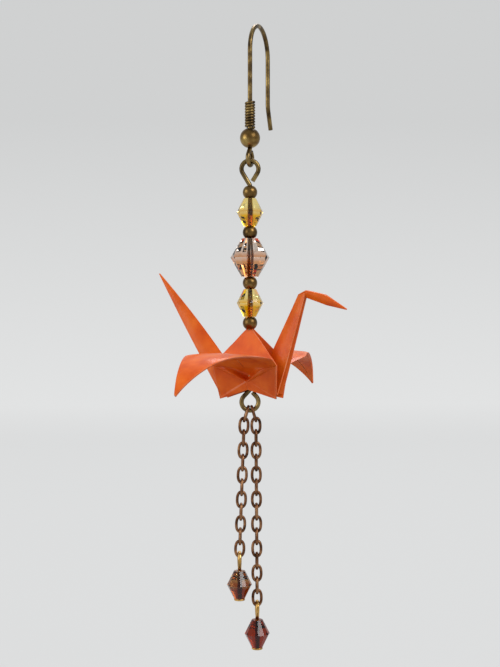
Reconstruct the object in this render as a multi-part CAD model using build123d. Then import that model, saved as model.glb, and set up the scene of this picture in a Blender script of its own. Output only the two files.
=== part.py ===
"""A folded paper crane strung on an eye pin as a drop ornament: an ear wire with a ball and a
coil, a stack of beads, the crane, and two cable chains that each end in a bead on a head pin.

Millimetres, +Z up. The origin is inside the top of the ear wire's hook, where it hangs. The eye
pin's loops lie in an XZ plane, and the crane is turned about the pin."""

from build123d import *
from math import asin, atan, cos, degrees, radians, sin, sqrt, tan
import os

# ---- ear wire ------------------------------------------------------------------------------
wire_d = 0.72                    # ear wire and eye pin
hook_turn = 22.0                 # the hook's plane, turned from the YZ plane, degrees
hook_bend_r = 4.6                # half circle through the ear, to the wire's centre
hook_front_length = 12.5         # straight wire from the ball up to the half circle
hook_back_length = 7.7           # straight wire down behind the ear
hook_kick_angle = 24.0           # outward kick of the wire's tail, degrees
hook_kick_length = 3.8
hook_kick_r = 3.0
hook_loop_r = 1.05               # loop under the ball, to the wire's centre
hook_loop_rise = 1.6             # from the loop's throat to its centre
ball_d = 3.2
ball_h = 2.95
coil_wire_d = 0.42
coil_turns = 9

# ---- eye pin and beads ---------------------------------------------------------------------
eye_top_r = 1.34                 # upper loop, to the wire's centre
eye_top_rise = 2.6
eye_bottom_r = 1.34
eye_bottom_rise = 1.98
throat_bend_r = 0.6              # where a loop's leg turns into the shank
loop_end_gap = 0.08              # between a loop's cut end and its other leg
throat_seat = 0.15               # from a loop's throat to the first bead
spacer_d = 2.32
spacer_h = 1.9
spacer_bore_r = 0.65
small_bicone = (4.05, 4.4, 1.9)  # width over the facets, height, width of the ends
large_bicone = (5.95, 6.05, 2.6)
drop_bicone = (3.85, 4.4, 1.7)
bicone_facets = 12
bore_clearance = 0.06            # on the radius, bead on wire
seat_gap = 0.02                  # between two beads that touch

# ---- folded crane --------------------------------------------------------------------------
paper_side = 50.0                # the square it is folded from
leaf_t = 0.16
strip_t = 0.24                   # body's lower strips, with two leaves pressed together
leaf_gap = 0.10                  # between two leaves of one flap
crane_turn = -30.0               # degrees about the pin, head to the front
peak_press = 0.6                 # the peak is pressed flat this far by the last bead
half_opening = 2.2               # middle of the body to a wing's root
root_draw = 0.9                  # a wing's root bows, so the shoulders draw in to this share
wing_rise_angle = 22.0           # the wing's inner stretch rises by this, degrees
wing_rise_share = 0.44           # of the wing's length
wing_curl_angle = 60.0           # the outer stretch curls down by this, degrees
nape = (8.45, 4.8)               # forward and up from the back's peak
crown = (9.9, 5.4)
crown_half_gap = 0.4
brow = (13.0, 4.9)
brow_half_gap = 0.3
jaw = (13.2, 3.2)
beak_tip = (16.4, 2.5)
tail_tip = (-16.6, 8.4)
belly_drop = 10.2                # middle of the body's lower edge, below the peak
belly_half_gap = 0.75
chest_corner = (5.1, 1.25, 11.3)   # along, across, and below the peak
rump_corner = (4.6, 1.25, 11.5)
neck_corner = (5.45, 0.8, 10.85)  # open lower corner of the neck
tail_corner = (4.95, 0.8, 11.05)
spine_foot = (0.7, 10.4)         # foot of the neck's and the tail's ridge: along, below
tuck_drop = 8.8                  # where the narrowed flaps meet under the wing
tuck_half_gap = 1.0
slit_w = 0.12                    # where the raw edges meet under a wing
wing_edge_steps = 8              # straight steps along a wing's curled edge
pin_hole_clearance = 0.08        # on the radius

# ---- chains and drops ----------------------------------------------------------------------
link_wire_d = 0.39
link_length = 2.765
link_width = 1.8
link_gap = 0.03                  # between two linked wires
short_links = 12
long_links = 16
first_link_offset = 0.42         # from the loop's middle to each strand's first link
strand_offset = 0.94             # from the loop's middle to each hanging strand
short_strand_tilt = 1.95         # outward lean, degrees
long_strand_tilt = 0.4
head_pin_d = 0.6
head_pin_loop_r = 0.95
head_pin_rise = 1.75
head_disc_d = 1.75
head_disc_t = 0.3

# ---- worked out ----------------------------------------------------------------------------
wire_r = wire_d / 2
link_r = link_wire_d / 2
half_diagonal = paper_side / sqrt(2)
narrowing = tan(radians(11.25))  # slope of the crease that narrows the neck and the tail
kite = tan(radians(22.5))        # slope of the petal fold's creases
# The narrowing crease meets the back's 45 degree edge at the wing's root.
root_half = half_diagonal * narrowing / (1 + narrowing)
petal_tip = half_diagonal * (sqrt(2) - 1)
wing_length = petal_tip + root_half
# The same crease meets the petal's side edge where the wing is widest.
wide_height = half_diagonal * (petal_tip / half_diagonal * kite - narrowing) / (kite + narrowing)
wide_reach = wide_height + root_half
wide_half = (half_diagonal + wide_height) * narrowing
shoulder = root_half * root_draw
# The back's edge keeps its length from the peak to the shoulder.
root_drop = sqrt(2 * root_half**2 - shoulder**2 - half_opening**2)

bend_z = wire_r - hook_bend_r
ball_top_z = bend_z - hook_front_length
ball_z = ball_top_z - ball_h / 2
hook_throat_z = ball_top_z - ball_h - throat_seat
hook_bar_z = hook_throat_z - hook_loop_rise - hook_loop_r
eye_top_z = hook_bar_z + wire_d + link_gap - eye_top_r
eye_throat_z = eye_top_z - eye_top_rise
stack_z = eye_throat_z - throat_seat
stack = [("spacer_bead_1", None), ("yellow_bicone_upper", small_bicone),
         ("spacer_bead_2", None), ("champagne_bicone", large_bicone),
         ("spacer_bead_3", None), ("yellow_bicone_lower", small_bicone),
         ("spacer_bead_4", None)]
stack_h = sum((size[1] if size else spacer_h) + seat_gap for name, size in stack)
peak_z = stack_z - stack_h + peak_press
lower_throat_z = peak_z - belly_drop
lower_eye_z = lower_throat_z - eye_bottom_rise
hook_side = Vector(sin(radians(hook_turn)), cos(radians(hook_turn)), 0)
pin_place = Location(hook_side * -hook_bend_r)   # the pin's axis, in front of the hanging point


def tube(path, diameter):
    """Round wire along a path."""
    section = Plane(origin=path @ 0, z_dir=path % 0) * Circle(diameter / 2)
    return sweep(section, path=path)


def eye_path(centre, throat, loop_r, diameter):
    """A teardrop loop in the XZ plane, from its cut end round to its far leg."""
    reach = abs(centre - throat)
    up = 1 if centre > throat else -1
    lean = asin(loop_r / reach)
    leg = sqrt(reach**2 - loop_r**2)
    def on_leg(distance, side):
        return Vector(side * distance * sin(lean), 0, throat + up * distance * cos(lean))
    far = Vector(0, 0, centre + up * loop_r)
    cut = (diameter + loop_end_gap) / (2 * sin(lean))
    loop = [Line(on_leg(cut, 1), on_leg(leg, 1)),
            ThreePointArc(on_leg(leg, 1), far, on_leg(leg, -1))]
    return loop, on_leg, leg, lean


def bent_pin(loops, diameter, shank_end=None):
    """Wire with a teardrop loop at one end or at both. Each loop is (centre, throat, loop_r)."""
    edges = []
    ends = []
    for centre, throat, loop_r in loops:
        loop, on_leg, leg, lean = eye_path(centre, throat, loop_r, diameter)
        trim = throat_bend_r * tan(lean / 2)
        down = -1 if centre > throat else 1
        turn_start = on_leg(trim, -1)
        turn_end = Vector(0, 0, throat + down * trim)
        edges += loop + [Line(on_leg(leg, -1), turn_start)]
        along = Vector(sin(lean), 0, down * cos(lean))
        edges.append(TangentArc(turn_start, turn_end, tangent=along))
        ends.append(turn_end)
    ends.append(Vector(0, 0, shank_end) if shank_end is not None else ends[1])
    edges.append(Line(ends[0], ends[-1]))
    return Wire(edges)


def hook():
    """The ear wire in its own plane, with Y towards the back, its front leg on Z."""
    back = 2 * hook_bend_r
    kick_z = bend_z - hook_back_length
    kick = radians(hook_kick_angle)
    tail = Vector(0, back + hook_kick_length * sin(kick), kick_z - hook_kick_length * cos(kick))
    loop, on_leg, leg, lean = eye_path(hook_throat_z - hook_loop_rise, hook_throat_z,
                                       hook_loop_r, wire_d)
    trim = throat_bend_r * tan(lean / 2)
    start = on_leg(trim, -1)
    end = Vector(0, 0, hook_throat_z + trim)
    small = loop + [Line(on_leg(leg, -1), start),
                    TangentArc(start, end, tangent=Vector(sin(lean), 0, cos(lean)))]
    loop_edges = [edge.rotate(Axis.Z, 90) for edge in small]
    cut = hook_kick_r * tan(kick / 2)
    bend_in = Vector(0, back, kick_z + cut)
    bend_out = Vector(0, back + cut * sin(kick), kick_z - cut * cos(kick))
    rest = [Line(end, (0, 0, bend_z)),
            ThreePointArc((0, 0, bend_z), (0, hook_bend_r, bend_z + hook_bend_r), (0, back, bend_z)),
            Line((0, back, bend_z), bend_in),
            TangentArc(bend_in, bend_out, tangent=Vector(0, 0, -1)),
            Line(bend_out, tail)]
    return Wire(loop_edges + rest)


def ball(width, height, bore_r):
    """A round bead with flats at its ends and a bore along Z."""
    return (Sphere(width / 2) & Cylinder(width, height)) - Cylinder(bore_r, height * 2)


def bicone(size, bore_r):
    """A faceted double cone with a bore along Z."""
    width, height, end = size
    slope = degrees(atan((width - end) / height))
    outline = RegularPolygon(width / 2, bicone_facets, major_radius=False)
    upper = extrude(outline, amount=height / 2, taper=slope)
    lower = upper.mirror(Plane.XY)
    return (upper + lower) - Cylinder(bore_r, height * 2)


def coil():
    """Closely wound turns of fine wire round the ear wire, above the ball."""
    turn_r = wire_r + coil_wire_d / 2 + bore_clearance
    pitch = coil_wire_d + seat_gap
    first = ball_top_z + coil_wire_d / 2 + seat_gap
    path = Helix(pitch=pitch, height=pitch * coil_turns, radius=turn_r)
    return tube(path, coil_wire_d).moved(Location((0, 0, first)))


def link(plane):
    """An oval chain link in the given plane, its length along the plane's Y."""
    half = (link_width - link_wire_d) / 2
    flat = (link_length - link_width) / 2
    path = Wire([Line((-half, -flat), (-half, flat)),
                 ThreePointArc((-half, flat), (0, flat + half), (half, flat)),
                 Line((half, flat), (half, -flat)),
                 ThreePointArc((half, -flat), (0, -flat - half), (-half, -flat))])
    return plane.location * tube(path, link_wire_d)


def leaf(*points, thickness=leaf_t):
    """A flat leaf of the sheet: a polygon, thickened to both sides."""
    face = Face(Wire.make_polygon([Vector(*p) for p in points], close=True))
    return extrude(face, amount=thickness / 2, both=True)


def crease(a, b):
    """The folded edge between two leaves."""
    line = Vector(*b) - Vector(*a)
    section = Plane(origin=Vector(*a), z_dir=line.normalized()) * RegularPolygon(leaf_t / 2, 8)
    return extrude(section, amount=line.length)


def lining(edge_foot, ridge_foot, tip, share, width, inward):
    """A flap's inner leaf: from the flap's open edge part of the way back to its ridge."""
    foot, ridge, end = Vector(*edge_foot), Vector(*ridge_foot), Vector(*tip)
    return leaf(foot, foot + (end - foot) * share,
                foot + (ridge - foot) * width - Vector(0, inward, 0))


def wing_profile(offset):
    """Centre line of a wing leaf in the YZ plane, lowered by offset."""
    rise = radians(wing_rise_angle)
    curl = radians(wing_curl_angle)
    inner_r = wing_length * wing_rise_share / rise
    outer_r = wing_length * (1 - wing_rise_share) / curl
    top = Vector(0, half_opening + inner_r * sin(rise), -root_drop + inner_r * (1 - cos(rise)))
    inner_c = top - Vector(0, 0, inner_r)
    outer_c = top - Vector(0, 0, outer_r)
    def on(centre, radius, angle):
        return centre + Vector(0, -sin(angle), cos(angle)) * (radius - offset)
    return (on(inner_c, inner_r, rise), on(inner_c, inner_r, rise / 2), on(inner_c, inner_r, 0),
            on(outer_c, outer_r, -curl / 2), on(outer_c, outer_r, -curl))


def wing_reach(length):
    """How far from the middle a point of the wing lies, by its distance from the root."""
    rise = radians(wing_rise_angle)
    curl = radians(wing_curl_angle)
    inner = wing_length * wing_rise_share
    inner_r = inner / rise
    if length < inner:
        return half_opening + inner_r * (sin(rise) - sin(rise - length / inner_r))
    outer_r = wing_length * (1 - wing_rise_share) / curl
    return half_opening + inner_r * sin(rise) + outer_r * sin((length - inner) / outer_r)


def wing_band(top, bottom, inset):
    """The part of a curved slab between two offsets that the wing's outline keeps."""
    upper, lower = wing_profile(top), wing_profile(bottom)
    edge = Wire([ThreePointArc(*upper[:3]), ThreePointArc(*upper[2:]), Line(upper[4], lower[4]),
                 ThreePointArc(*reversed(lower[2:])), ThreePointArc(*reversed(lower[:3])),
                 Line(lower[0], upper[0])])
    slab = extrude(Face(edge), amount=paper_side / 2, both=True, dir=(1, 0, 0))
    half = wide_half - inset
    tip = wide_reach + (wing_length - wide_reach) * half / wide_half
    outline = [(shoulder - inset, wing_reach(0) - leaf_t)]
    for step in range(wing_edge_steps):
        share = step / wing_edge_steps
        outline.append((half * (1 - share), wing_reach(wide_reach + (tip - wide_reach) * share)))
    mirrored = [(-x, y) for x, y in reversed(outline)]
    outline.append((0, wing_reach(tip)))
    prism = extrude(make_face(Polyline(*outline, *mirrored, close=True)), amount=paper_side,
                    both=True)
    return slab & prism


def wing():
    """A wing's smooth upper leaf, and its two lower leaves that meet along the middle."""
    under = leaf_t / 2 + leaf_gap
    whole = wing_band(-leaf_t / 2, under + leaf_t, 0)
    pocket = wing_band(leaf_t / 2, under, leaf_t)
    slit = wing_band(under - leaf_gap / 2, under + 2 * leaf_t, 0)
    slit &= Box(slit_w, wing_length * 1.6, paper_side).moved(Location((0, wing_length * 0.8, 0)))
    return whole - pocket - slit


def crane():
    """The folded sheet, its back's peak at the origin, its head towards +X."""
    peak = (0, 0, 0)
    parts = []
    for front in (1, -1):
        roots = [(side * shoulder, front * half_opening, -root_drop) for side in (1, -1)]
        tuck = (0, front * tuck_half_gap, -tuck_drop)
        belly = (0, front * belly_half_gap, -belly_drop)
        parts += [leaf(peak, *roots), leaf(tuck, *roots)]
        parts.append(crease(*roots))
        for side, root, corner in zip((1, -1), roots, (chest_corner, rump_corner)):
            foot = (side * spine_foot[0], 0, -spine_foot[1])
            low = (side * corner[0], front * corner[1], -corner[2])
            parts += [leaf(peak, root, foot), leaf(root, low, foot)]
            parts.append(leaf(root, low, tuck, thickness=strip_t))
            parts.append(leaf(low, belly, tuck, thickness=strip_t))
            parts += [crease(peak, root), crease(root, low), crease(root, foot)]
            parts += [crease(root, tuck), crease(low, tuck)]
        chest = (neck_corner[0], front * neck_corner[1], -neck_corner[2])
        rump = (-tail_corner[0], front * tail_corner[1], -tail_corner[2])
        neck_foot = (spine_foot[0], 0, -spine_foot[1])
        tail_foot = (-spine_foot[0], 0, -spine_foot[1])
        throat = (crown[0], front * crown_half_gap, crown[1])
        bend = (nape[0], 0, nape[1])
        top = (brow[0], front * brow_half_gap, brow[1])
        chin = (jaw[0], 0, jaw[1])
        beak = (beak_tip[0], 0, beak_tip[1])
        tail = (tail_tip[0], 0, tail_tip[1])
        parts += [leaf(neck_foot, chest, throat), leaf(neck_foot, throat, bend)]
        parts += [leaf(bend, throat, chin), leaf(throat, top, chin), leaf(top, beak, chin)]
        parts += [crease(bend, throat), crease(chest, throat)]
        parts += [leaf(tail_foot, rump, tail), crease(rump, tail)]
        parts.append(lining(chest, neck_foot, throat, 0.75, 0.6, front * (leaf_t + leaf_gap)))
        parts.append(lining(rump, tail_foot, tail, 0.7, 0.6, front * (leaf_t + leaf_gap)))
    parts += [crease(neck_foot, bend), crease(bend, chin), crease(chin, beak)]
    parts.append(crease(tail_foot, tail))
    half = wing()
    parts += [half, half.mirror(Plane.XZ)]
    body = parts[0].fuse(*parts[1:])
    flat_top = Cylinder(spacer_d, paper_side).moved(Location((0, 0, paper_side / 2 - peak_press)))
    hole = Cylinder(wire_r + pin_hole_clearance, paper_side)
    return (body - flat_top - hole).rotate(Axis.Z, crane_turn)


def strand(count, side, tilt):
    """One chain's links from the eye pin's lower loop down, and its last bar's centre."""
    bar = Vector(side * first_link_offset, 0, lower_eye_z)
    bar -= Vector(0, 0, sqrt(eye_bottom_r**2 - first_link_offset**2))
    half = link_length / 2 - link_r
    hold = wire_r + link_r + link_gap
    lean = asin((strand_offset - first_link_offset) / (2 * half - hold))
    along = Vector(side * sin(lean), 0, -cos(lean))
    centre = bar + along * (half - hold)
    links = []
    for number in range(count):
        if number == 1:
            along = Vector(side * sin(radians(tilt)), 0, -cos(radians(tilt)))
        if number > 0:
            centre += step * half + along * (half - link_wire_d - link_gap)
        facing = Vector(0, 1, 0) if number % 2 else Vector(0, 1, 0).cross(along)
        across = along.cross(facing)
        plane = Plane(origin=centre, x_dir=across, z_dir=facing)
        links.append(link(plane))
        step = along
    return links, centre + along * half


def drop(bar):
    """A head pin with a looped top on a link's lower bar, and the bead on it."""
    loop_z = link_r + head_pin_d / 2 + link_gap - head_pin_loop_r
    throat_z = loop_z - head_pin_rise
    bead_top = throat_z - throat_seat
    disc_top = bead_top - drop_bicone[1] - seat_gap
    path = bent_pin([(loop_z, throat_z, head_pin_loop_r)], head_pin_d,
                    disc_top - head_disc_t / 2)
    pin = tube(path, head_pin_d).rotate(Axis.Z, 90)
    disc = Cylinder(head_disc_d / 2, head_disc_t)
    pin += fillet(disc.edges(), head_disc_t / 3).moved(Location((0, 0, disc_top - head_disc_t / 2)))
    bead = bicone(drop_bicone, head_pin_d / 2 + bore_clearance)
    bead = bead.moved(Location((0, 0, bead_top - drop_bicone[1] / 2)))
    return pin.moved(Location(bar)), bead.moved(Location(bar))


pieces = {}
on_hook = pin_place * Location((0, 0, 0), (0, 0, -hook_turn))
pieces["ear_wire"] = tube(hook(), wire_d).moved(on_hook)
ear_ball = ball(ball_d, ball_h, wire_r + bore_clearance)
pieces["ear_wire_ball"] = ear_ball.moved(pin_place * Location((0, 0, ball_z)))
pieces["ear_wire_coil"] = coil().moved(pin_place)

eye_loops = [(eye_top_z, eye_throat_z, eye_top_r), (lower_eye_z, lower_throat_z, eye_bottom_r)]
pieces["eye_pin"] = tube(bent_pin(eye_loops, wire_d), wire_d).moved(pin_place)
top = stack_z
for name, size in stack:
    height = size[1] if size else spacer_h
    if size:
        bead = bicone(size, wire_r + bore_clearance)
    else:
        bead = ball(spacer_d, spacer_h, spacer_bore_r)
    pieces[name] = bead.moved(pin_place * Location((0, 0, top - height / 2)))
    top -= height + seat_gap
pieces["crane"] = crane().moved(pin_place * Location((0, 0, peak_z)))

short_strand, short_bar = strand(short_links, -1, short_strand_tilt)
long_strand, long_bar = strand(long_links, 1, long_strand_tilt)
for number, solid in enumerate(short_strand, start=1):
    pieces[f"short_chain_link_{number:02d}"] = solid.moved(pin_place)
for number, solid in enumerate(long_strand, start=1):
    pieces[f"long_chain_link_{number:02d}"] = solid.moved(pin_place)
for name, bar in (("short", short_bar), ("long", long_bar)):
    pin, bead = drop(bar)
    pieces[f"{name}_drop_head_pin"] = pin.moved(pin_place)
    pieces[f"{name}_drop_bicone"] = bead.moved(pin_place)

os.makedirs("parts", exist_ok=True)
for name, solid in pieces.items():
    export_step(solid, f"parts/{name}.step")
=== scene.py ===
from math import atan2, copysign, cos, pi, radians, sin, tan

import bpy
from mathutils import Matrix, Vector


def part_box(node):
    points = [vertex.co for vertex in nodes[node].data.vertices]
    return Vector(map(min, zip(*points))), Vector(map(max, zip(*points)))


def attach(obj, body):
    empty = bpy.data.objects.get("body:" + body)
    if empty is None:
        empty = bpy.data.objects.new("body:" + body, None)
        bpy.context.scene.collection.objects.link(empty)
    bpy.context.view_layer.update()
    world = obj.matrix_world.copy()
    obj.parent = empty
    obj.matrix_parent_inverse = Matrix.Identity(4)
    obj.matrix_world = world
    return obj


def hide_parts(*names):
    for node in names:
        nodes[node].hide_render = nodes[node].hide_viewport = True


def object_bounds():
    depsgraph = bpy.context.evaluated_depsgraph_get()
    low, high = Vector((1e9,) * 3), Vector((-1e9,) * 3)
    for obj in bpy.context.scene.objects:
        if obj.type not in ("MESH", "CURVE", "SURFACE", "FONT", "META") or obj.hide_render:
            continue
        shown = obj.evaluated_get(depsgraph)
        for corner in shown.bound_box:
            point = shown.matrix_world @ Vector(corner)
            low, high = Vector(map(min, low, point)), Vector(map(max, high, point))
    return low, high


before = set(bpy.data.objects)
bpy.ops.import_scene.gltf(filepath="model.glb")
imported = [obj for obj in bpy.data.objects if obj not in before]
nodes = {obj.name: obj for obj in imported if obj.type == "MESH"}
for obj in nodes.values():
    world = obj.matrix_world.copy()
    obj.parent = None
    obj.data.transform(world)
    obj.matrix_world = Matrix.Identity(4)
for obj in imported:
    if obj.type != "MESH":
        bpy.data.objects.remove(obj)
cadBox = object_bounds()
mm = 0.001

# ---- where things are, taken from the frame ----
pinLow, pinHigh = [Vector(corner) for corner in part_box("eye_pin")]
pinAxis = (pinLow + pinHigh) / 2  # the eye pin stands on this line
modelLow, modelHigh = [Vector(corner) for corner in cadBox]


def linear(hexColour):
    values = [int(hexColour[i:i + 2], 16) / 255 for i in (0, 2, 4)]
    return [v / 12.92 if v <= 0.04045 else ((v + 0.055) / 1.055) ** 2.4 for v in values] + [1]


def addNode(tree, kind, settings=None, inputs=None, links=None):
    node = tree.nodes.new(kind)
    for name, value in (settings or {}).items():
        setattr(node, name, value)
    for name, value in (inputs or {}).items():
        node.inputs[name].default_value = value
    for name, socket in (links or {}).items():
        tree.links.new(socket, node.inputs[name])
    return node


def newMaterial(name):
    material = bpy.data.materials.new(name)
    material.use_nodes = True
    tree = material.node_tree
    shader = tree.nodes["Principled BSDF"]
    place = addNode(tree, "ShaderNodeTexCoord").outputs["Object"]
    return material, tree, shader, place


def colourRamp(tree, factor, stops):
    node = addNode(tree, "ShaderNodeValToRGB", links={"Fac": factor})
    ramp = node.color_ramp
    while len(ramp.elements) < len(stops):
        ramp.elements.new(0.5)
    for element, (position, colour) in zip(ramp.elements, stops):
        element.position = position
        element.color = linear(colour) if isinstance(colour, str) else [colour] * 3 + [1]
    return node.outputs["Color"]


# ---- materials ----
def antiqueBrass(name, dark, middle, bright, roughness, patchSize):
    # Antiqued brass, tumbled after blackening: brown in the lows, worn gold on the highs.
    material, tree, shader, place = newMaterial(name)
    patches = addNode(tree, "ShaderNodeTexNoise", inputs={"Scale": 1 / (patchSize * mm), "Detail": 3},
                      links={"Vector": place}).outputs["Fac"]
    colour = colourRamp(tree, patches, [(0.32, dark), (0.5, middle), (0.68, bright)])
    tree.links.new(colour, shader.inputs["Base Color"])
    shader.inputs["Metallic"].default_value = 1
    gloss = addNode(tree, "ShaderNodeMapRange", inputs={"From Min": 0.3, "From Max": 0.7,
                    "To Min": roughness + 0.12, "To Max": roughness}, links={"Value": patches})
    tree.links.new(gloss.outputs["Result"], shader.inputs["Roughness"])
    # Tumbling marks 0.05 mm wide are drawn 0.12 mm wide, so that they show.
    marks = addNode(tree, "ShaderNodeTexNoise", inputs={"Scale": 1 / (0.12 * mm), "Detail": 2},
                    links={"Vector": place}).outputs["Fac"]
    bump = addNode(tree, "ShaderNodeBump", inputs={"Strength": 0.25, "Distance": 0.01 * mm},
                   links={"Height": marks})
    tree.links.new(bump.outputs["Normal"], shader.inputs["Normal"])
    return material


def facetedGlass(name, node, topColour, bottomColour, ior):
    # Pressed and polished lead-free crystal; colour drawn deeper towards the lower half and paler above,
    # which is painted light and reflection on the upper facets.
    material, tree, shader, place = newMaterial(name)
    low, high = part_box(node)
    height = addNode(tree, "ShaderNodeSeparateXYZ", links={"Vector": place}).outputs["Z"]
    share = addNode(tree, "ShaderNodeMapRange", inputs={"From Min": low[2], "From Max": high[2]},
                    links={"Value": height}).outputs["Result"]
    colour = colourRamp(tree, share, [(0.38, bottomColour), (0.62, topColour)])
    tree.links.new(colour, shader.inputs["Base Color"])
    shader.inputs["Transmission Weight"].default_value = 1
    shader.inputs["Roughness"].default_value = 0.02
    shader.inputs["IOR"].default_value = ior
    return material


def coatedPaper(name, base, deep, pale):
    # Coral dyed paper under a clear gloss varnish: faint mottling, fibres under the coat.
    material, tree, shader, place = newMaterial(name)
    mottle = addNode(tree, "ShaderNodeTexNoise", inputs={"Scale": 1 / (2.5 * mm), "Detail": 4},
                     links={"Vector": place}).outputs["Fac"]
    colour = colourRamp(tree, mottle, [(0.3, deep), (0.5, base), (0.75, pale)])
    tree.links.new(colour, shader.inputs["Base Color"])
    shader.inputs["Roughness"].default_value = 0.5
    shader.inputs["Specular IOR Level"].default_value = 0.12
    shader.inputs["Coat Weight"].default_value = 0.24
    shader.inputs["Coat Roughness"].default_value = 0.14
    # Fibres 0.02 mm thick are drawn 0.15 mm wide, so that they show.
    fibres = addNode(tree, "ShaderNodeTexNoise", inputs={"Scale": 1 / (0.15 * mm), "Detail": 3},
                     links={"Vector": place}).outputs["Fac"]
    waves = addNode(tree, "ShaderNodeTexNoise", inputs={"Scale": 1 / (3 * mm), "Detail": 1},
                    links={"Vector": place}).outputs["Fac"]
    fine = addNode(tree, "ShaderNodeBump", inputs={"Strength": 0.2, "Distance": 0.01 * mm},
                   links={"Height": fibres})
    bump = addNode(tree, "ShaderNodeBump", inputs={"Strength": 0.5, "Distance": 0.15 * mm},
                   links={"Height": waves, "Normal": fine.outputs["Normal"]})
    tree.links.new(bump.outputs["Normal"], shader.inputs["Normal"])
    return material


wireBrass = antiqueBrass("antiquedBrassWire", "3A2E1E", "6E5A38", "9A8250", 0.27, 1.6)
beadBrass = antiqueBrass("antiquedBrassBead", "3C2E1A", "755A32", "A28850", 0.26, 2.2)
chainBrass = antiqueBrass("antiquedCopperChain", "3E281A", "7A5238", "A67C58", 0.34, 1.2)
goldenBrass = antiqueBrass("polishedBrassPin", "8A6A38", "C49A56", "E0BE80", 0.22, 1.8)


def finishNode(name, material):
    nodes[name].data.materials.clear()
    nodes[name].data.materials.append(material)


for name in nodes:
    if name.startswith("ear_wire") or name == "eye_pin":
        finishNode(name, wireBrass)
    elif "chain_link" in name:
        finishNode(name, chainBrass)
    elif name.endswith("head_pin"):
        finishNode(name, goldenBrass)
    elif name.startswith("spacer_bead"):
        finishNode(name, beadBrass)
finishNode("ear_wire_ball", beadBrass)
# Upper-half colours are painted light; the short drop's grey-gold upper half is a painted reflection.
glassTones = {  # upper half, lower half, refraction
    "yellow_bicone_upper": ("F6E294", "F2A600", 1.4),
    "champagne_bicone": ("EBDACB", "D27C3C", 1.48),
    "yellow_bicone_lower": ("F6E294", "F2A600", 1.4),
    "short_drop_bicone": ("A07A44", "7A2404", 1.44),
    "long_drop_bicone": ("7E2604", "8A2404", 1.4),
}
for name, (topColour, bottomColour, ior) in glassTones.items():
    finishNode(name, facetedGlass(name + "Glass", name, topColour, bottomColour, ior))
print("materials on", len(nodes), "CAD nodes")

# ---- the chains ----
# Cable chain of drawn wire: oval links, each rounder and a little stouter than its CAD link.
chainLink = {
    "wire": 0.46,
    "length": 2.905,
    "width": 1.8,
    "ovalPower": 2.3,  # 2 is an ellipse, more is squarer
    "around": 48,
    "wireSides": 14,
    "axisSteps": 30,  # repeats that settle a link's long direction
}


def linkPlace(link):
    # middle, long direction and wide direction, from how the CAD link's points are spread
    points = [vertex.co for vertex in link.data.vertices]
    low = Vector([min(point[k] for point in points) for k in range(3)])
    high = Vector([max(point[k] for point in points) for k in range(3)])
    middle = (low + high) / 2
    spread = Matrix([[sum((point - middle)[i] * (point - middle)[j] for point in points) / mm**2
                      for j in range(3)] for i in range(3)])
    along = Vector((0, 0, 1))
    for step in range(chainLink["axisSteps"]):
        along = (spread @ along).normalized()
    facing = high.x - low.x > high.y - low.y
    return middle, along, along.cross(Vector((0, 1, 0))) if facing else Vector((0, 1, 0))


def ovalLink(name):
    middle, along, across = linkPlace(nodes[name])
    wire, power = chainLink["wire"], chainLink["ovalPower"]
    halfWidth, halfLength = (chainLink["width"] - wire) / 2, (chainLink["length"] - wire) / 2
    bpy.ops.object.select_all(action="DESELECT")
    bpy.ops.mesh.primitive_torus_add(major_segments=chainLink["around"], major_radius=1,
                                     minor_segments=chainLink["wireSides"], minor_radius=wire / 2)
    ring = bpy.context.object
    ring.name = name.replace("_link_", "_oval_")
    for vertex in ring.data.vertices:
        x, y, side = vertex.co
        turn = atan2(y, x)
        outward = Vector((x, y)).length - 1
        c, s = [copysign(abs(part) ** (2 / power), part) for part in (cos(turn), sin(turn))]
        lean = Vector([copysign(abs(part) ** (power - 1), part) / half
                       for part, half in ((c, halfWidth), (s, halfLength))]).normalized()
        wide, long = c * halfWidth + lean.x * outward, s * halfLength + lean.y * outward
        vertex.co = middle + (across * wide + along * long + across.cross(along) * side) * mm
    bpy.ops.object.shade_smooth()
    ring.data.materials.append(chainBrass)
    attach(ring, name.split("_link_")[0])
    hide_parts(name)


linkNames = [name for name in nodes if "_link_" in name]
for name in linkNames:
    ovalLink(name)
print("oval links", len(linkNames))

# ---- the folded crane ----
# Millimetres from the back's peak: along the body (head first), across it, and up.
craneFold = {
    "turn": -30,  # degrees about the pin
    "peakPress": 0.6,  # how far the peak goes up into the last bead
    "leaf": 0.15,
    "leafGap": 0.12,
    "shoulder": (5.6, 2.2, -6.25),
    "chest": (5.1, 1.25, -11.3),
    "rump": (-4.6, 1.25, -11.5),
    "belly": (0, 0.75, -10.2),
    "tuck": (0, 1.0, -8.8),
    "ridgeFoot": (0.7, 0, -10.4),
    "creaseRadius": 0.14,
    "creaseSteps": 3,
    "facetCuts": 3,
    "weld": 0.02,  # corners nearer than this are one
    "peakCut": 0.5,  # the body's tip is left out this far, inside the last bead
    "leastHalfGap": 0.03,
    "fullHalfGap": 0.4,  # a flap this far open leaves its inner leaves all their room
    "onRidge": 0.02,  # share of the sheet's half width that lies on a flap's ridge
    "handWaver": 0.07,  # how far the leaves stray from flat
    "waverSize": 4,
    "smoothAngle": 32,  # degrees
}
neckFold = {
    "ridge": [(0.75, -10.3), (4.4, -3.3), (8.45, 4.8)],
    "edge": [(5.45, -10.85), (7.6, -3.2), (9.9, 5.4)],
    "halfGap": (1.08, 0.5),
    "bulge": 0.08,
    "turn": 0.62,  # share of the sheet's half width at which it folds inwards
    "innerWidth": 0.55,  # the inner leaf's width, as a share of the flap's
    "crisp": False,
}
headFold = {
    "ridge": [(8.45, 4.8), (13.2, 3.15), (16.5, 2.45)],
    "edge": [(9.9, 5.4), (13.0, 4.75), (16.5, 2.5)],
    "halfGap": (0.5, 0.05),
    "bulge": 0.22,
    "turn": 0.62,
    "innerWidth": 0.4,
    "crisp": True,
}
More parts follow.
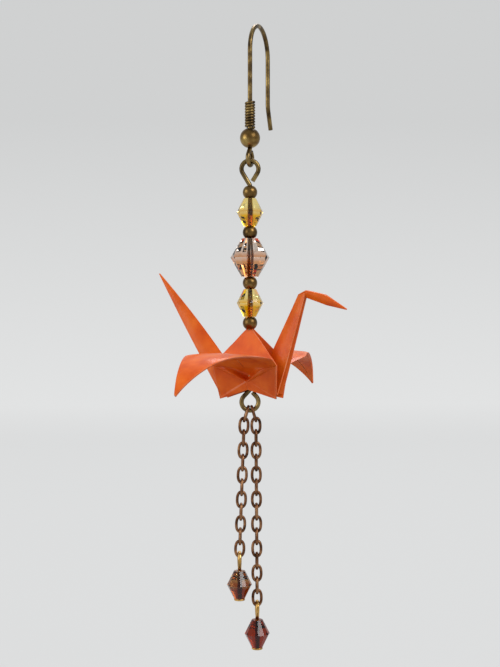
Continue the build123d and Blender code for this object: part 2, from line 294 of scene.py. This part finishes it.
tailFold = {
    "ridge": [(-0.75, -10.3), (-8.0, -1.0), (-16.6, 8.4)],
    "edge": [(-4.95, -11.05), (-10.6, -2.0), (-16.65, 8.4)],
    "halfGap": (0.95, 0.05),
    "bulge": 0.08,
    "turn": 0.62,
    "innerWidth": 0.55,
    "crisp": False,
}
wingFold = {
    "length": 20.51,
    "wideAt": 4.29,
    "wideHalf": 6.72,
    "riseAngle": 22,
    "riseShare": 0.44,
    "curlAngle": 60,
    "sweep": 1.9,  # the tips stray round the pin by this much
    "camber": 0.5,  # the wing is this much higher along its middle
    "camberStart": 2.5,  # length from the root over which the camber comes in
    "slit": 0.05,
    "turn": 0.5,
    "rowPower": 1.4,  # above 1, the rows lie closer together towards the tip
    "tipStop": 0.999,
    "leastHalf": 0.01,
}
pocketFold = {
    "hollow": 1.25,  # depth of the hollow under a wing's root
    "lip": 0.45,  # bulge of the rounded lips each side of it
    "lipStart": 0.55,  # share of the root where a lip begins
    "fullness": 0.8,  # under 1, the hollow starts steeper at its two ends
    "drop": 0.15,  # from the wing's root down to the pocket's rim
}
foldSharpness = {"flap": (8, 0.25), "wing": (10, 0.1)}  # how fast two leaves part at a fold, and from where


paperFinishes = [
    coatedPaper("varnishedCoralPaper", "DE5E0E", "CE4E08", "E8701E"),
    coatedPaper("cutPaperEdge", "DE8852", "D07040", "E8A478"),
    # The folds take a lighter finish: crease wear, with a painted highlight along each fold's ridge.
    coatedPaper("foldWearAndPaintedHighlight", "E2703A", "D86028", "EA8A5C"),
]
rimSlot, foldWearAndHighlightSlot = 1, 2  # where the last two lie in each leaf's material slots


def onCrane(point):
    return Matrix.Rotation(radians(craneFold["turn"]), 3, "Z") @ Vector(point) * mm + cranePeak


def through(points, share, crisp):
    # through three points, by the share of the way: straight runs, or one smooth curve
    a, b, c = points
    if crisp:
        start, end = (a, b) if share < 0.5 else (b, c)
        part = share * 2 if share < 0.5 else share * 2 - 1
        return [start[k] + (end[k] - start[k]) * part for k in (0, 1)]
    weights = [2 * (share - 0.5) * (share - 1), -4 * share * (share - 1), 2 * share * (share - 0.5)]
    return [sum(weight * point[k] for weight, point in zip(weights, points)) for k in (0, 1)]


def leafParting(kind, inwards):
    # how far the inner leaf lies from the outer one, by its share of the way in from the fold
    rate, start = foldSharpness[kind]
    return min(1, inwards * rate + start) * (craneFold["leaf"] + craneFold["leafGap"])


def withPaper(piece):
    for finish in paperFinishes:
        piece.data.materials.append(finish)


def foldedGrid(name, columns, rows, shape, turn=None):
    # one leaf: a flat grid whose points are then laid where the fold puts them
    bpy.ops.object.select_all(action="DESELECT")
    bpy.ops.mesh.primitive_grid_add(x_subdivisions=columns, y_subdivisions=rows, size=1)
    grid = bpy.context.object
    grid.name = name
    withPaper(grid)
    # Faces where a leaf turns under take the lighter fold finish: wear and painted highlight.
    for face in grid.data.polygons:
        if turn and abs(abs(face.center.x) * 2 - turn) < 1 / columns:
            face.material_index = foldWearAndHighlightSlot
    for vertex in grid.data.vertices:
        vertex.co = onCrane(shape(vertex.co.x + 0.5, vertex.co.y + 0.5))
    return grid


def flatLeaf(corners):
    # one flat facet of the body
    bpy.ops.object.select_all(action="DESELECT")
    bpy.ops.mesh.primitive_circle_add(vertices=len(corners), fill_type="NGON")
    facet = bpy.context.object
    withPaper(facet)
    for vertex, corner in zip(facet.data.vertices, corners):
        vertex.co = onCrane(corner)
    return facet


def joined(pieces, name):
    bpy.ops.object.select_all(action="DESELECT")
    for piece in pieces:
        piece.select_set(True)
    bpy.context.view_layer.objects.active = pieces[0]
    bpy.ops.object.join()
    pieces[0].name = name
    return pieces[0]


def applyModifier(piece, kind, **settings):
    modifier = piece.modifiers.new(kind.lower(), kind)
    for setting, value in settings.items():
        setattr(modifier, setting, value)
    bpy.context.view_layer.objects.active = piece
    bpy.ops.object.modifier_apply(modifier=modifier.name)


def mirrored(point, along, across):
    return (point[0] * along, point[1] * across, point[2])


def bodySheet():
    facets = []
    fold = craneFold
    for front in (1, -1):
        shoulders = [mirrored(fold["shoulder"], side, front) for side in (1, -1)]
        tuck = mirrored(fold["tuck"], 1, front)
        belly = mirrored(fold["belly"], 1, front)
        facets.append(flatLeaf([(0, 0, 0)] + shoulders))
        for side, shoulder, low in zip((1, -1), shoulders, (fold["chest"], fold["rump"])):
            foot = mirrored(fold["ridgeFoot"], side, 1)
            low = mirrored(low, 1, front)
            facets.append(flatLeaf([(0, 0, 0), shoulder, foot]))
            facets.append(flatLeaf([shoulder, low, foot]))
            facets.append(flatLeaf([shoulder, low, tuck]))
            facets.append(flatLeaf([low, belly, tuck]))
    body = joined(facets, "craneBody")
    bpy.ops.object.mode_set(mode="EDIT")
    bpy.ops.mesh.select_mode(type="VERT")
    bpy.ops.mesh.select_all(action="SELECT")
    bpy.ops.mesh.remove_doubles(threshold=fold["weld"] * mm)
    bpy.ops.mesh.bisect(plane_co=cranePeak - Vector((0, 0, fold["peakCut"] * mm)), plane_no=(0, 0, 1),
                        clear_outer=True)
    bpy.ops.mesh.select_mode(type="EDGE")
    bpy.ops.mesh.select_all(action="SELECT")
    bpy.ops.mesh.region_to_loop()
    bpy.ops.mesh.select_all(action="INVERT")
    # Rounded creases take the lighter fold finish: wear and painted highlight.
    bpy.ops.mesh.bevel(offset=fold["creaseRadius"] * mm, segments=fold["creaseSteps"], affect="EDGES",
                       material=foldWearAndHighlightSlot)
    bpy.ops.mesh.select_all(action="SELECT")
    bpy.ops.mesh.quads_convert_to_tris()
    bpy.ops.mesh.subdivide(number_cuts=fold["facetCuts"])
    bpy.ops.mesh.normals_make_consistent(inside=False)
    bpy.ops.object.mode_set(mode="OBJECT")
    return body


def flapShape(fold):
    # A narrowed flap seen end on: inner leaf, open edge, outer leaf, ridge, and the same again.
    def shape(across, along):
        side = 1 if across >= 0.5 else -1
        walk = abs(across - 0.5) * 2  # 0 on the ridge, 1 at the inner leaf's raw edge
        turn = fold["turn"]
        ridge = through(fold["ridge"], along, fold["crisp"])
        edge = through(fold["edge"], along, fold["crisp"])
        half = fold["halfGap"][0] + (fold["halfGap"][1] - fold["halfGap"][0]) * along
        room = min(1, half / craneFold["fullHalfGap"])
        if walk <= turn:
            width, inward = walk / turn, 0
        else:
            width = 1 - (walk - turn) / (1 - turn) * fold["innerWidth"]
            inward = leafParting("flap", 1 - width)
        outward = half * width + fold["bulge"] * room * sin(width * pi)
        across = max(outward - inward * room, craneFold["leastHalfGap"])
        if walk < craneFold["onRidge"]:
            across = 0
        return (ridge[0] + (edge[0] - ridge[0]) * width, side * across,
                ridge[1] + (edge[1] - ridge[1]) * width)
    return shape


def wingLine(length):
    # distance out from the root and height above it, with the direction of the leaf
    rise, curl = radians(wingFold["riseAngle"]), radians(wingFold["curlAngle"])
    inner = wingFold["length"] * wingFold["riseShare"]
    innerRadius = inner / rise
    outerRadius = (wingFold["length"] - inner) / curl
    topOut, topUp = innerRadius * sin(rise), innerRadius * (1 - cos(rise))
    if length < inner:
        angle = rise - length / innerRadius
        return topOut - innerRadius * sin(angle), topUp - innerRadius * (1 - cos(angle)), angle
    angle = (length - inner) / outerRadius
    return topOut + outerRadius * sin(angle), topUp - outerRadius * (1 - cos(angle)), -angle


def wingShape(front):
    shoulder = craneFold["shoulder"]

    def shape(across, along):
        length = wingFold["length"] * (1 - (1 - along) ** wingFold["rowPower"]) * wingFold["tipStop"]
        if length < wingFold["wideAt"]:
            share = length / wingFold["wideAt"]
            half = shoulder[0] + (wingFold["wideHalf"] - shoulder[0]) * share
        else:
            share = (length - wingFold["wideAt"]) / (wingFold["length"] - wingFold["wideAt"])
            half = wingFold["wideHalf"] * (1 - share)
        side = 1 if across >= 0.5 else -1
        walk = abs(across - 0.5) * 2  # 0 along the top's middle, 1 at the raw edge underneath
        turn = wingFold["turn"]
        if walk <= turn:
            width, down = walk / turn, 0
        else:
            width = 1 - (walk - turn) / (1 - turn)
            down = leafParting("wing", 1 - width)
        x = side * max(half * width, wingFold["slit"] if down else 0)
        progress = length / wingFold["length"]
        camber = wingFold["camber"] * (1 - (x / max(half, wingFold["leastHalf"])) ** 2) * (1 - progress)
        camber *= min(1, length / wingFold["camberStart"])
        out, up, angle = wingLine(length)
        lift = camber - down
        swept = x + front * wingFold["sweep"] * progress ** 2
        return (swept, front * (shoulder[1] + out - lift * sin(angle)),
                shoulder[2] + up + lift * cos(angle))
    return shape


def pocketShape(front):
    shoulder, tuck = craneFold["shoulder"], craneFold["tuck"]

    def shape(across, along):
        a = across * 2 - 1
        start = pocketFold["lipStart"]
        if abs(a) < start:
            push = -pocketFold["hollow"] * (1 - (abs(a) / start) ** 2)
        else:
            push = pocketFold["lip"] * sin((abs(a) - start) / (1 - start) * pi)
        push *= max(sin(along * pi), 0) ** pocketFold["fullness"]
        x = shoulder[0] * a * (1 - along) + tuck[0] * along
        y = shoulder[1] + (tuck[1] - shoulder[1]) * along
        z = shoulder[2] - pocketFold["drop"] + (tuck[2] - shoulder[2]) * along
        return (x, front * (y + push), z)
    return shape


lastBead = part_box("spacer_bead_4")
cranePeak = Vector((pinAxis.x, pinAxis.y, lastBead[0][2] + craneFold["peakPress"] * mm))
leaves = [bodySheet()]
for front in (1, -1):
    leaves.append(foldedGrid("wing", 56, 30, wingShape(front), wingFold["turn"]))
    leaves.append(foldedGrid("pocket", 36, 14, pocketShape(front)))
for name, fold, rows in (("neck", neckFold, 26), ("head", headFold, 20), ("tail", tailFold, 28)):
    leaves.append(foldedGrid(name, 34, rows, flapShape(fold), fold["turn"]))
crane = joined(leaves, "foldedCrane")
waver = bpy.data.textures.new("handWaver", "CLOUDS")
waver.noise_scale = craneFold["waverSize"] * mm
applyModifier(crane, "DISPLACE", texture=waver, strength=craneFold["handWaver"] * mm, mid_level=0.5)
applyModifier(crane, "SOLIDIFY", thickness=craneFold["leaf"] * mm, offset=0, material_offset_rim=rimSlot)
bpy.ops.object.select_all(action="DESELECT")
crane.select_set(True)
bpy.context.view_layer.objects.active = crane
bpy.ops.object.shade_smooth_by_angle(angle=radians(craneFold["smoothAngle"]))
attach(crane, "drop")
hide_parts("crane")
print("crane folded,", len(crane.data.polygons), "faces")

# ---- stage ----
studio = {
    "floorDrop": 14 * mm,  # below the lowest bead
    "floorSize": 1.6,
    "sweepRadius": 0.35,
    "sweepSteps": 16,
    "toneHeight": 0.4,  # over which the backdrop's tone changes
    "glowShare": 0.88,  # of the backdrop's light that is its own
    "cameraDistance": 195 * mm,
    "cameraAboveCrane": 1.66 * mm,  # above the crane's peak
    "cameraTurn": -3.4,  # degrees, towards the left
    "lens": 66.4,
}
bpy.ops.object.select_all(action="DESELECT")
bpy.ops.mesh.primitive_plane_add(size=studio["floorSize"],
                                 location=(0, 0, modelLow.z - studio["floorDrop"]))
floor = bpy.context.object
floor.name = "paleFloor"
bpy.ops.object.mode_set(mode="EDIT")
bpy.ops.mesh.select_all(action="DESELECT")
bpy.ops.object.mode_set(mode="OBJECT")
for edge in floor.data.edges:
    ends = [floor.data.vertices[i].co.y for i in edge.vertices]
    edge.select = min(ends) > 0
bpy.ops.object.mode_set(mode="EDIT")
bpy.ops.mesh.select_mode(type="EDGE")
bpy.ops.mesh.extrude_region_move(TRANSFORM_OT_translate={"value": (0, 0, studio["floorSize"])})
bpy.ops.object.mode_set(mode="OBJECT")
bend = floor.modifiers.new("sweep", "BEVEL")
bend.width = studio["sweepRadius"]
bend.segments = studio["sweepSteps"]
bpy.ops.object.modifier_apply(modifier="sweep")
bpy.ops.object.shade_smooth()
stageMaterial, tree, shader, place = newMaterial("paleBackdrop")
shader.inputs["Base Color"].default_value = linear("A2A3A4")
shader.inputs["Roughness"].default_value = 0.9
height = addNode(tree, "ShaderNodeSeparateXYZ", links={"Vector": place}).outputs["Z"]
share = addNode(tree, "ShaderNodeMapRange", inputs={"From Min": modelLow.z,
                "From Max": modelLow.z + studio["toneHeight"]}, links={"Value": height}).outputs["Result"]
paleTone = colourRamp(tree, share, [(0, "B4B5B6"), (0.1, "BCBDBE"), (0.28, "EAEBEB"), (0.8, "D8D9D9")])
glow = addNode(tree, "ShaderNodeEmission", inputs={"Strength": 1}, links={"Color": paleTone})
rays = addNode(tree, "ShaderNodeLightPath").outputs
seen = rays["Is Camera Ray"]
for ray in ("Is Glossy Ray", "Is Transmission Ray"):
    either = addNode(tree, "ShaderNodeMath", {"operation": "MAXIMUM"})
    tree.links.new(seen, either.inputs[0])
    tree.links.new(rays[ray], either.inputs[1])
    seen = either.outputs[0]
portion = addNode(tree, "ShaderNodeMath", {"operation": "MULTIPLY"})
tree.links.new(seen, portion.inputs[0])
portion.inputs[1].default_value = studio["glowShare"]
surface = addNode(tree, "ShaderNodeMixShader")
tree.links.new(portion.outputs[0], surface.inputs[0])
tree.links.new(shader.outputs[0], surface.inputs[1])
tree.links.new(glow.outputs[0], surface.inputs[2])
tree.links.new(surface.outputs[0], tree.nodes["Material Output"].inputs["Surface"])
floor.data.materials.append(stageMaterial)

world = bpy.data.worlds.new("softRoom")
bpy.context.scene.world = world
world.use_nodes = True
background = world.node_tree.nodes["Background"]
background.inputs["Color"].default_value = linear("F2F4F6")
background.inputs["Strength"].default_value = 0.55


def addLamp(name, offset, size, power):
    bpy.ops.object.light_add(type="AREA", location=cranePeak + Vector(offset))
    lamp = bpy.context.object
    lamp.name = name
    lamp.data.size = size
    lamp.data.energy = power
    lamp.rotation_euler = (-Vector(offset)).to_track_quat("-Z", "Y").to_euler()


lamps = {  # metres from the crane's peak, width in metres, power in watts
    "windowRight": ((0.35, -0.35, 0.35), 0.3, 2.0),
    "softLeft": ((-0.45, -0.2, 0.12), 0.35, 0.9),
    "topBack": ((0.05, 0.3, 0.45), 0.25, 1.4),
}
for name, (offset, size, power) in lamps.items():
    addLamp(name, offset, size, power)

turn = radians(studio["cameraTurn"])
distance = studio["cameraDistance"]
eyePoint = cranePeak + Vector((sin(turn) * distance, -cos(turn) * distance, studio["cameraAboveCrane"]))
topAngle = atan2(modelHigh.z - eyePoint.z, distance)
bottomAngle = atan2(modelLow.z - eyePoint.z, distance)
aim = Vector((pinAxis.x, pinAxis.y, eyePoint.z + distance * tan((topAngle + bottomAngle) / 2)))
bpy.ops.object.camera_add(location=eyePoint)
camera = bpy.context.object
camera.data.lens = studio["lens"]
camera.data.sensor_width = 36
camera.rotation_euler = (aim - eyePoint).to_track_quat("-Z", "Y").to_euler()
camera.data.clip_start = 0.005
bpy.context.scene.camera = camera
bpy.context.scene.view_settings.view_transform = "Standard"
print("stage, lamps and camera")
